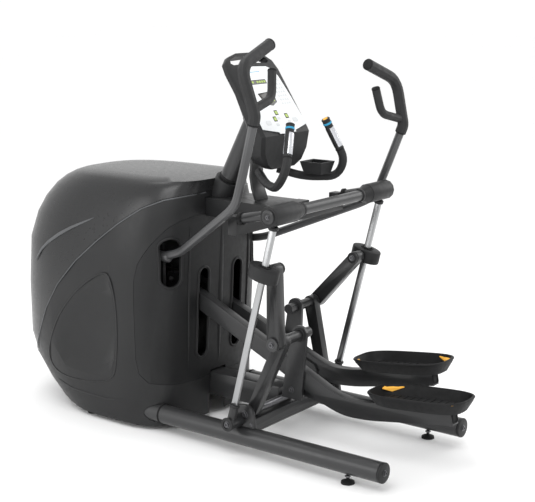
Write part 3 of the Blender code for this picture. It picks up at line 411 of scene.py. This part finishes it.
def strip(name, surface, path, width, height, mat, closed=False, taper=False, body="frame",
          slot="housing_plastic"):
    """A low rounded bead that follows a path lying on a surface."""
    path = densify(path, closed)
    frames = [outward(surface, u, v, HEART) for u, v in path]
    rings = []
    count = len(path)
    for i, (point, normal) in enumerate(frames):
        before = frames[(i - 1) % count if closed else max(i - 1, 0)][0]
        after = frames[(i + 1) % count if closed else min(i + 1, count - 1)][0]
        along = (after - before).normalized()
        across = normal.cross(along).normalized()
        scale = 1.0
        if taper:
            scale = max(0.06, abs(math.sin(math.pi * i / (count - 1))) ** 0.6)
        ring = []
        for side, up in ((-0.5, -0.4), (-0.5, 0.2), (-0.32, 0.8), (0, 1.0), (0.32, 0.8), (0.5, 0.2),
                         (0.5, -0.4)):
            ring.append(point + across * side * width * scale + normal * (up * height * scale))
        rings.append(ring)
    if closed:
        rings.append(rings[0])
    bm = loft(rings, caps=not closed)
    if closed:
        bmesh.ops.remove_doubles(bm, verts=bm.verts, dist=0.00001)
    return place(name, to_mesh(name, bm), mat, body, smooth=50, slot=slot)


def smooth_outline(points, rounds=3):
    """Chaikin corner cutting of a closed outline."""
    for _ in range(rounds):
        out = []
        for a, b in zip(points, points[1:] + points[:1]):
            out.append((a[0] * 0.75 + b[0] * 0.25, a[1] * 0.75 + b[1] * 0.25))
            out.append((a[0] * 0.25 + b[0] * 0.75, a[1] * 0.25 + b[1] * 0.75))
        points = out
    return points


def stadium(x, low, high, half):
    points = []
    for centre_z, start in ((high - half, 0), (low + half, 180)):
        for i in range(13):
            a = math.radians(start + 180 * i / 12)
            points.append((x + half * math.cos(a), centre_z + half * math.sin(a)))
    return points


SEAM = [(1.860, 0.080), (1.780, 0.205), (1.716, 0.306), (1.646, 0.439), (1.562, 0.556), (1.448, 0.673),
        (1.339, 0.763), (1.234, 0.844), (1.132, 0.912), (1.050, 0.948), (0.975, 0.965)]
HOLLOW_MOUTH = [(1.640, 0.220), (1.614, 0.310), (1.547, 0.431), (1.421, 0.560), (1.303, 0.633),
                (1.258, 0.621), (1.228, 0.480), (1.240, 0.250), (1.276, 0.189), (1.420, 0.162),
                (1.590, 0.165)]


def housing_detail():
    mouth = smooth_outline(HOLLOW_MOUTH, 2)
    middle = (sum(p[0] for p in mouth) / len(mouth), sum(p[1] for p in mouth) / len(mouth))
    rim = [(middle[0] + (p[0] - middle[0]) * 1.03, middle[1] + (p[1] - middle[1]) * 1.03) for p in mouth]
    sweep = [(1.360, 0.852), (1.397, 0.836), (1.480, 0.800), (1.551, 0.764), (1.620, 0.722), (1.665, 0.687),
             (1.725, 0.623)]
    for label, s in SIDES.items():
        surface = side_surface(s)
        strip(f"side_hollow_rim_{label}", surface, rim, 0.006, 0.0016, CASE, closed=True)
        # The seam bead and the side sweep take the lighter grey as a painted highlight along them.
        strip(f"seam_edge_{label}", surface, [(p[0] - 0.003, p[1] - 0.004) for p in SEAM], 0.0050, 0.0018,
              HIGHLIGHT_GREY)
        strip(f"side_sweep_{label}", surface, sweep, 0.014, 0.0045, HIGHLIGHT_GREY, taper=True)
        strip(f"side_low_bead_{label}", surface,
              [(1.200, 0.118), (1.300, 0.105), (1.500, 0.110), (1.600, 0.130)],
              0.008, 0.0020, CASE, taper=True)
    for label, s in SIDES.items():
        strip(f"long_slot_rim_{label}", rear_surface, stadium(s * SLOT_X, 0.2795, 0.6605, 0.0325), 0.010,
              0.0040, SHADED_REAR, closed=True)
        strip(f"lever_slot_rim_{label}", rear_surface, stadium(s * LEVER_SLOT_X, 0.5945, 0.7955, 0.0385),
              0.010, 0.0040, SHADED_REAR, closed=True)
        strip(f"rear_rib_{label}", rear_surface, [(s * 0.182, 0.250), (s * 0.186, 0.450), (s * 0.190, 0.650),
                                                   (s * 0.186, 0.840)], 0.010, 0.0050, SHADED_REAR, taper=True)
    strip("rear_middle_rib", rear_surface, [(0, 0.235), (0, 0.450), (0, 0.650), (0, 0.835)], 0.026, 0.0035,
          SHADED_REAR, taper=True)


# ---------------------------------------------------------------- frame hardware

def frame_detail():
    for label, s in SIDES.items():
        bolt(f"end_cap_bolt_{label}", vec(s * TUBE_X, 0.0, 0.075), (0, -1, 0), 0.0085, "frame")
        bolt(f"rail_foot_bolt_{label}", vec(s * 0.378, 0.645, 0.141), (s, 0, 0), 0.009, "frame")
        collar(f"rail_foot_ring_{label}", vec(s * 0.3745, 0.645, 0.141), (s, 0, 0), 0.0165, 0.0272, 0.007,
               TRIM, "frame")
        up = Vector((0, *lean((0, 0), 1, RAIL_LEAN)))
        low = vec(s * RAIL_X, *lean(RAIL_FOOT, 0.070, RAIL_LEAN))
        collar(f"rail_low_ring_{label}", low, up, 0.0150, 0.0195, 0.010, TRIM, "frame")
        high = vec(s * RAIL_X, *lean(RAIL_TOP, -0.043, RAIL_LEAN))
        collar(f"rail_high_ring_{label}", high, up, 0.0150, 0.0190, 0.014, TRIM, "frame")
        lathe(f"end_block_disc_{label}", [(0.0245, 0), (0.0260, 0.0015), (0.0260, 0.005), (0.0235, 0.0075),
                                          (0.0150, 0.0080), (0.0140, 0.0068), (0.0020, 0.0066)],
              vec(s * 0.395, 0.436, 0.964), (s, 0, 0), PAINT, "frame", slot="frame_paint")
        bolt(f"end_block_bolt_{label}", vec(s * 0.4018, 0.436, 0.964), (s, 0, 0), 0.0065, "frame")
        collar(f"cross_tube_ring_{label}", vec(s * 0.190, 0.436, 0.964), (s, 0, 0), 0.0205, 0.0262, 0.016,
               TRIM, "frame")
        arm_from, arm_to = vec(s * 0.350, 0.4805, 0.9595), vec(s * 0.338, 0.6085, 0.9310)
        run = (arm_to - arm_from).normalized()
        # The front socket ring has the socket rim's shape, and its dark rubber colour is painted shadow in the
        # socket around the arm's end.
        collar(f"arm_socket_shade_ring_{label}", arm_to - run * 0.018, run, 0.0182, 0.0245, 0.018, RUBBER, "frame")
        collar(f"arm_block_ring_{label}", arm_from - run * 0.001, run, 0.0182, 0.0225, 0.010, TRIM, "frame")
        for spot, at in (("rear", 0.155), ("front", 1.440)):
            lathe(f"foot_nut_{spot}_{label}",
                  [(0.0095, 0), (0.0110, 0.0012), (0.0110, 0.0062), (0.0095, 0.0074)],
                  vec(s * TUBE_X, at, 0.0235), (0, 0, 1), BOLT, "frame", steps=6, slot="rail_steel")
        for i, at in enumerate((0.590, 0.683)):
            bolt(f"bracket_bolt_{i}_{label}", vec(s * 0.298, at, 0.130), (s, 0, 0), 0.0055, "frame")
        bolt(f"pivot_bolt_{label}", vec(s * 0.298, *PIVOT), (s, 0, 0), 0.0100, "frame")
        # A thin ring in dark rubber colour where the floor tube enters the housing: painted shadow around the
        # hole.
        collar(f"tube_entry_shade_ring_{label}", vec(s * TUBE_X, 1.048, 0.075), (0, -1, 0), 0.0382, 0.0405, 0.008,
               RUBBER, "frame")


def linkage_detail():
    for label, s in SIDES.items():
        rocker = f"{label}_rocker"
        knee = KNEE[label]
        bolt(f"knee_bolt_{label}", vec(s * 0.3135, *knee), (s, 0, 0), 0.0090, rocker)
        collar(f"knee_spacer_{label}", vec(s * 0.2610, *knee), (s, 0, 0), 0.0203, 0.0262, 0.0026, TRIM,
               rocker)
        collar(f"hanger_ring_{label}", vec(s * 0.1385, *knee), (s, 0, 0), 0.0203, 0.0270, 0.006, TRIM, rocker)
        carriage = lean(knee, 0.2795, 1.2 if label == "left" else -42.7)
        bolt(f"slider_bolt_{label}", vec(s * 0.250, *carriage), (-s, 0, 0), 0.0085, f"{label}_slider")
        turn = Vector((0, *lean((0, 0), 1, RAIL_LEAN)))
        for spot, way in (("top", 1), ("bottom", -1)):
            window_frame(f"slider_gasket_{spot}_{label}", vec(s * RAIL_X, *carriage), turn * way,
                         f"{label}_slider")

        def at(place):
            return turned((knee[0] + place[0], knee[1] + place[1]), knee, LINK_ANGLE[label])

        bolt(f"hanger_bolt_{label}", vec(s * 0.1375, *at((0.036, -0.226))), (s, 0, 0), 0.0085,
             f"{label}_foot")
        bolt(f"gusset_bolt_{label}", vec(s * 0.0770, *at((-0.030, -0.225))), (-s, 0, 0), 0.0065,
             f"{label}_foot")
        link_end(label, s, at)
        pedal_detail(label, s, at)


def window_frame(name, centre, normal, body):
    """A rubber wiper around the rail on a face of the slider block."""
    normal = normal.normalized()
    across = Vector((1, 0, 0))
    along = normal.cross(across)
    rings = []
    for half_x, half_y, up in ((0.0175, 0.0240, 0.0255), (0.0175, 0.0240, 0.0280), (0.0160, 0.0225, 0.0295),
                               (0.0120, 0.0190, 0.0295), (0.0112, 0.0180, 0.0280), (0.0112, 0.0180, 0.0240),
                               (0.0175, 0.0240, 0.0255)):
        ring = []
        for i in range(24):
            a = 2 * math.pi * i / 24
            c, q = math.cos(a), math.sin(a)
            x = half_x * math.copysign(abs(c) ** 0.5, c)
            y = half_y * math.copysign(abs(q) ** 0.5, q)
            ring.append(centre + across * x + along * y + normal * up)
        rings.append(ring)
    bm = loft(rings, caps=False)
    bmesh.ops.remove_doubles(bm, verts=bm.verts, dist=0.00001)
    place(name, to_mesh(name, bm), RUBBER, body, slot="foot_rubber")


def link_end(label, s, at):
    """The hollow rear end of a foot link: a dark plug with a raised edge, its dark face painted shade standing
    for the shaded inside of the open tube end.
    """
    end, before = Vector(at((-0.655, -0.1985))), Vector(at((-0.645, -0.2001)))
    run = (end - before).normalized()
    out = Vector((run.y, -run.x))
    rings = []
    for half_x, half_y, reach in ((0.0195, 0.0210, 0.0), (0.0195, 0.0210, 0.0030), (0.0165, 0.0180, 0.0045),
                                  (0.0150, 0.0165, 0.0030), (0.0140, 0.0155, 0.0012)):
        ring = []
        for i in range(20):
            a = 2 * math.pi * i / 20
            c, q = math.cos(a), math.sin(a)
            x = half_x * math.copysign(abs(c) ** 0.45, c)
            y = half_y * math.copysign(abs(q) ** 0.45, q)
            spot = end + run * reach + out * y
            ring.append(vec(s * LINK_X + x, spot.x, spot.y))
        rings.append(ring)
    # The dark plug is painted shade in the open end of the link.
    place(f"link_end_shade_plug_{label}", to_mesh(f"link_end_shade_plug_{label}", loft(rings)), RUBBER, f"{label}_foot",
          slot="foot_rubber")


def pedal_ring(inset, z, count=48):
    half_l, half_w = 0.200 - inset, 0.096 - inset
    points = []
    for i in range(count):
        a = 2 * math.pi * i / count
        c, q = math.cos(a), math.sin(a)
        points.append(Vector((half_w * math.copysign(abs(c) ** (2 / 3.4), c),
                              half_l * math.copysign(abs(q) ** (2 / 3.4), q), z)))
    return points


def pedal_detail(label, s, at):
    """A ribbed mat in the tray, a rolled rim and two bright corner markers."""
    body = f"{label}_foot"
    turn = Matrix.Rotation(-math.radians(PEDAL_PITCH + LINK_ANGLE[label]), 4, "X")
    where = Matrix.Translation(vec(s * 0.108, *at((-0.515, -0.139)))) @ turn

    def put(name, bm, mat, slot="trim_plastic"):
        bmesh.ops.transform(bm, matrix=where, verts=bm.verts)
        return place(name, to_mesh(name, bm), mat, body, slot=slot)

    mat_rings = [pedal_ring(0.0280, -0.0365), pedal_ring(0.0280, -0.0345), pedal_ring(0.0290, -0.0335),
                 pedal_ring(0.10, -0.0335)]
    put(f"pedal_mat_{label}", loft(mat_rings), RUBBER, "foot_rubber")
    rim = []
    for inset, z in ((0.0000, -0.004), (-0.0012, -0.001), (0.0006, 0.0020), (0.0040, 0.0032),
                     (0.0074, 0.0020), (0.0088, -0.002), (0.0086, -0.004), (0.0000, -0.004)):
        rim.append(pedal_ring(inset, z))
    bm = loft(rim, caps=False)
    bmesh.ops.remove_doubles(bm, verts=bm.verts, dist=0.00001)
    put(f"pedal_rim_{label}", bm, MOULD)
    for i in range(11):
        y = -0.140 + 0.028 * i
        reach = 0.058 * (1 - abs(y / 0.19) ** 4) ** 0.5
        rings = []
        for x in (-reach, -reach + 0.004, reach - 0.004, reach):
            small = 0.4 if abs(x) == reach else 1.0
            rings.append([Vector((x, y + dy * small, -0.0335 + dz * small)) for dy, dz in
                          ((-0.0032, -0.001), (-0.0026, 0.0020), (0, 0.0028), (0.0026, 0.0020),
                           (0.0032, -0.001))])
        put(f"pedal_rib_{i}_{label}", loft(rings), RUBBER, "foot_rubber")
    for spot, sx, sy in (("front", -s, 1), ("rear", s, -1)):
        corner = [Vector((sx * x, sy * y, z)) for x, y, z in
                  ((0.0790, 0.1130, -0.006), (0.0800, 0.1450, -0.003), (0.0735, 0.1700, -0.002),
                   (0.0600, 0.1810, -0.002), (0.0300, 0.1800, -0.006), (0.0560, 0.1540, -0.020))]
        low = [p - Vector((0, 0, 0.003)) for p in corner]
        put(f"pedal_marker_{spot}_{label}", loft([low, corner]), YELLOW, "button_yellow")


def lever_detail():
    for label, s in SIDES.items():
        body, swing = f"{label}_lever", LEVER_ANGLE[label]

        def at(x, along, up):
            return vec(s * x, *turned((along, up), LEVER_PIVOT, swing))

        a, b = at(0.434, 0.509, 1.151), at(0.434, 0.4728, 1.2935)
        run = (b - a).normalized()
        collar(f"foam_end_ring_{label}", b - run * 0.006, run, 0.0163, 0.0222, 0.0065, RUBBER, body,
               "foot_rubber")
        tip, before = at(0.238, 0.548, 1.559), at(0.434, 0.527, 1.490)
        run = (tip - before).normalized()
        lathe(f"grip_cap_{label}",
              [(0.0222, -0.004), (0.0228, -0.003), (0.0226, 0.001), (0.0190, 0.0045), (0.0100, 0.0065),
               (0.0010, 0.0070)], tip, run, RUBBER, body, slot="foot_rubber")
        tip, before = at(0.268, 0.516, 1.470), at(0.300, 0.493, 1.372)
        run = (tip - before).normalized()
        lathe(f"inner_grip_cap_{label}",
              [(0.0163, -0.004), (0.0168, -0.003), (0.0166, 0.001), (0.0140, 0.004), (0.0070, 0.0058),
               (0.0010, 0.0062)], tip, run, RUBBER, body, slot="foot_rubber")


# ---------------------------------------------------------------- console

CONSOLE_LOW = (0.640, 1.213)


def on_face(x, up_by, out_by):
    a = math.radians(35)
    up = Vector((0, math.sin(a), math.cos(a)))
    out = Vector((0, -math.cos(a), math.sin(a)))
    return vec(0, *CONSOLE_LOW) + Vector((x, 0, 0)) + up * up_by + out * out_by


def face_pad(name, outline, mat, base=0.0036, rise=0.0006, slot="fascia_white", dome=0.0):
    """A low pad on the console face from an outline of (across, up) points."""
    mid = Vector((sum(p[0] for p in outline) / len(outline), sum(p[1] for p in outline) / len(outline)))
    rings = []
    for share, up in ((1.0, 0.0), (1.0, 0.6), (0.96, 1.0), (0.6, 1.0 + dome), (0.1, 1.0 + dome)):
        rings.append([on_face(mid.x + (x - mid.x) * share, mid.y + (y - mid.y) * share, base + rise * up)
                      for x, y in outline])
    return place(name, to_mesh(name, loft(rings)), mat, "frame", slot=slot)


def rounded(x0, y0, x1, y1, r, steps=4):
    points = []
    for cx, cy, start in ((x1 - r, y0 + r, -90), (x1 - r, y1 - r, 0), (x0 + r, y1 - r, 90),
                          (x0 + r, y0 + r, 180)):
        for i in range(steps + 1):
            a = math.radians(start + 90 * i / steps)
            points.append((cx + r * math.cos(a), cy + r * math.sin(a)))
    return points


def console_detail():
    face_pad("display_strip", rounded(-0.098, 0.218, 0.030, 0.238, 0.003), DARK, rise=0.0010)
    for i in range(8):
        x = -0.090 + 0.0148 * i
        if i != 3:
            face_pad(f"strip_segment_{i}", rounded(x, 0.2235, x + 0.0110, 0.2325, 0.001), GREEN, base=0.0045,
                     rise=0.0004)
    face_pad("accent_line", rounded(-0.050, 0.2720, 0.022, 0.2745, 0.0011), BLUE, rise=0.0005)
    face_pad("display_centre", [(-0.062, 0.178), (-0.048, 0.128), (-0.004, 0.120), (0.030, 0.134),
                                (0.036, 0.184)],
             DARK, rise=0.0010)
    for i, (x, up, size) in enumerate(((-0.038, 0.140, 0.010), (-0.022, 0.136, 0.013), (-0.006, 0.133, 0.009),
                                       (0.010, 0.138, 0.012))):
        face_pad(f"centre_bar_{i}", rounded(x, up, x + 0.010, up + size, 0.0012), GREEN, base=0.0045,
                 rise=0.0004)
    for i, (x, up) in enumerate(((-0.048, 0.052), (-0.022, 0.078), (0.032, 0.060))):
        face_pad(f"small_display_{i}", rounded(x, up, x + 0.021, up + 0.022, 0.002), DARK, rise=0.0009)
        face_pad(f"small_digits_{i}", rounded(x + 0.003, up + 0.004, x + 0.018, up + 0.018, 0.001), GREEN,
                 base=0.0045, rise=0.0004)
        face_pad(f"small_key_{i}", rounded(x + 0.001, up - 0.020, x + 0.020, up - 0.008, 0.004), GREY,
                 rise=0.0006, dome=0.3)
    for row in range(7):
        for column in range(4):
            x, up = 0.056 + 0.0150 * column, 0.120 + 0.0172 * row
            if x + 0.010 > 0.127 - 0.10 * max(0, up - 0.200) - 0.002:
                continue
            face_pad(f"key_{row}_{column}", rounded(x, up, x + 0.0105, up + 0.0100, 0.003), GREY, rise=0.0007,
                     dome=0.4)
    for row in range(5):
        up = 0.110 + 0.021 * row
        face_pad(f"left_key_{row}", rounded(-0.112 + 0.002 * row, up, -0.092 + 0.002 * row, up + 0.010, 0.004),
                 GREY, rise=0.0006, dome=0.3)
    face_pad("start_key", rounded(0.066, 0.040, 0.098, 0.060, 0.008), GREY, rise=0.0008, dome=0.4)
    face_pad("stop_key", rounded(-0.104, 0.040, -0.072, 0.060, 0.008), GREY, rise=0.0008, dome=0.4)

    # The port panel lies in the lower part's own nearly upright plane
    def low_face(x, up_by, out_by):
        base = vec(0, 0.6395, 1.209)
        down = (vec(0, 0.647, 1.145) - base).normalized()
        out = Vector((0, down.z, -down.y)).normalized()
        if out.y > 0:
            out = -out
        return base + Vector((x, 0, 0)) - down * up_by + out * out_by

    def low_pad(name, outline, mat, base, rise):
        mid = Vector((sum(p[0] for p in outline) / len(outline), sum(p[1] for p in outline) / len(outline)))
        rings = []
        for share, up in ((1.0, -1.0), (1.0, 0.6), (0.94, 1.0), (0.5, 1.0), (0.1, 1.0)):
            rings.append([low_face(mid.x + (x - mid.x) * share, mid.y + (y - mid.y) * share, base + rise * up)
                          for x, y in outline])
        place(name, to_mesh(name, loft(rings)), mat, "frame")

    low_pad("port_frame", rounded(-0.022, -0.040, 0.022, -0.016, 0.004), CASE, 0.0, 0.0014)
    low_pad("port_left", rounded(-0.016, -0.033, -0.003, -0.023, 0.002), RUBBER, 0.0012, 0.0008)
    low_pad("port_right", rounded(0.003, -0.033, 0.016, -0.023, 0.002), RUBBER, 0.0012, 0.0008)


def tube_patch(name, start, end, radius, turn_from, turn_to, reference, mat, slot, steps=14):
    """A thin shell plate that hugs part of a round bar between two angles."""
    axis = (end - start).normalized()
    side = (reference - axis * reference.dot(axis)).normalized()
    other = axis.cross(side)
    rings = []
    for share, lift in ((0.0, -0.0006), (0.0, 0.0006), (0.03, 0.0011), (0.5, 0.0011), (0.97, 0.0011),
                        (1.0, 0.0006), (1.0, -0.0006)):
        ring = []
        for i in range(steps + 1):
            a = math.radians(turn_from + (turn_to - turn_from) * i / steps)
            edge = 0.0008 if i in (0, steps) else 0.0
            r = radius + lift - edge
            ring.append(start + (end - start) * share + side * r * math.cos(a) + other * r * math.sin(a))
        rings.append(ring)
    place(name, to_mesh(name, loft(rings, closed=False, caps=False)), mat, "frame", slot=slot)


BAR_TOP = ((0.195, 0.505, 1.100), (0.115, 0.545, 1.262))


def bar_detail():
    for label, s in SIDES.items():
        a = vec(s * BAR_TOP[0][0], *BAR_TOP[0][1:])
        b = vec(s * BAR_TOP[1][0], *BAR_TOP[1][1:])
        run = (b - a).normalized()
        back = Vector((0, -1, 0.2))
        tube_patch(f"sensor_rear_{label}", a + (b - a) * 0.34, a + (b - a) * 0.80, 0.0166, -58, 58, back,
                   SILVER, "rail_steel")
        tube_patch(f"sensor_front_{label}", a + (b - a) * 0.34, a + (b - a) * 0.80, 0.0166, 122, 238, back,
                   SILVER, "rail_steel")
        collar(f"blue_ring_{label}", b - run * 0.022, run, 0.0160, 0.0178, 0.008, BLUE, "frame",
               "trim_plastic")
        collar(f"bar_tip_ring_{label}", b - run * 0.006, run, 0.0108, 0.0172, 0.0075, TRIM, "frame")
        collar(f"grip_low_ring_{label}", a + (b - a) * 0.26, run, 0.0160, 0.0175, 0.005, RUBBER, "frame",
               "foot_rubber")
    low, high = vec(0, 1.0272, 0.8215), vec(0, 0.7926, 1.2674)
    run = (high - low).normalized()
    collar("mast_top_ring", high - run * 0.030, run, 0.0398, 0.0455, 0.018, TRIM, "frame")
    collar("mast_band", low + run * 0.212, run, 0.0398, 0.0440, 0.012, RUBBER, "frame", "foot_rubber")


# ---------------------------------------------------------------- stage

def stage():
    mesh = bpy.data.meshes.new("studio_floor")
    bm = bmesh.new()
    bmesh.ops.create_grid(bm, x_segments=1, y_segments=1, size=40)
    bm.to_mesh(mesh)
    bm.free()
    floor = bpy.data.objects.new("studio_floor", mesh)
    bpy.context.scene.collection.objects.link(floor)
    mat, tree, shader = nodes_of("studio_floor")
    tone = ramp(tree, noise(tree, 0.4, 2), (0.96, 0.96, 0.96), (0.98, 0.98, 0.98))
    tree.links.new(tone, shader.inputs["Base Color"])
    shader.inputs["Roughness"].default_value = 0.9
    mesh.materials.append(mat)

    world = bpy.data.worlds.new("studio")
    world.use_nodes = True
    world.node_tree.nodes["Background"].inputs["Color"].default_value = (1, 1, 1, 1)
    world.node_tree.nodes["Background"].inputs["Strength"].default_value = 1.04
    bpy.context.scene.world = world
    bpy.context.scene.view_settings.view_transform = "Standard"

    def area(name, where, aim, size, power):
        light = bpy.data.lights.new(name, "AREA")
        light.shape = "RECTANGLE"
        light.size, light.size_y = size
        light.energy = power
        lamp = bpy.data.objects.new(name, light)
        lamp.location = where
        lamp.rotation_euler = (Vector(aim) - Vector(where)).to_track_quat("-Z", "Y").to_euler()
        bpy.context.scene.collection.objects.link(lamp)

    area("key", (-2.6, -1.0, 3.6), (0, 0.2, 0.6), (2.4, 1.6), 48)
    area("side", (-3.6, 1.8, 1.8), (0, 0.5, 0.6), (1.4, 2.4), 30)
    area("far", (2.8, -1.6, 2.4), (0, 0, 0.8), (1.6, 2.2), 24)
    area("top", (0.2, 1.0, 4.0), (0, 0.4, 0), (2.6, 2.0), 34)

    camera_data = bpy.data.cameras.new("camera")
    camera_data.lens = 83.41
    camera_data.sensor_width = 36
    camera = bpy.data.objects.new("camera", camera_data)
    camera.location = (-3.8385, REAR_Y - 2.15227, 1.75903)
    pitch = math.radians(12.012)
    aim = Vector((0.79888 * math.cos(pitch), 0.60149 * math.cos(pitch), -math.sin(pitch)))
    camera.rotation_euler = aim.to_track_quat("-Z", "Y").to_euler()
    bpy.context.scene.collection.objects.link(camera)
    bpy.context.scene.camera = camera


dress_frame()
smooth_frame()
housing_detail()
frame_detail()
linkage_detail()
lever_detail()
console_detail()
bar_detail()
stage()
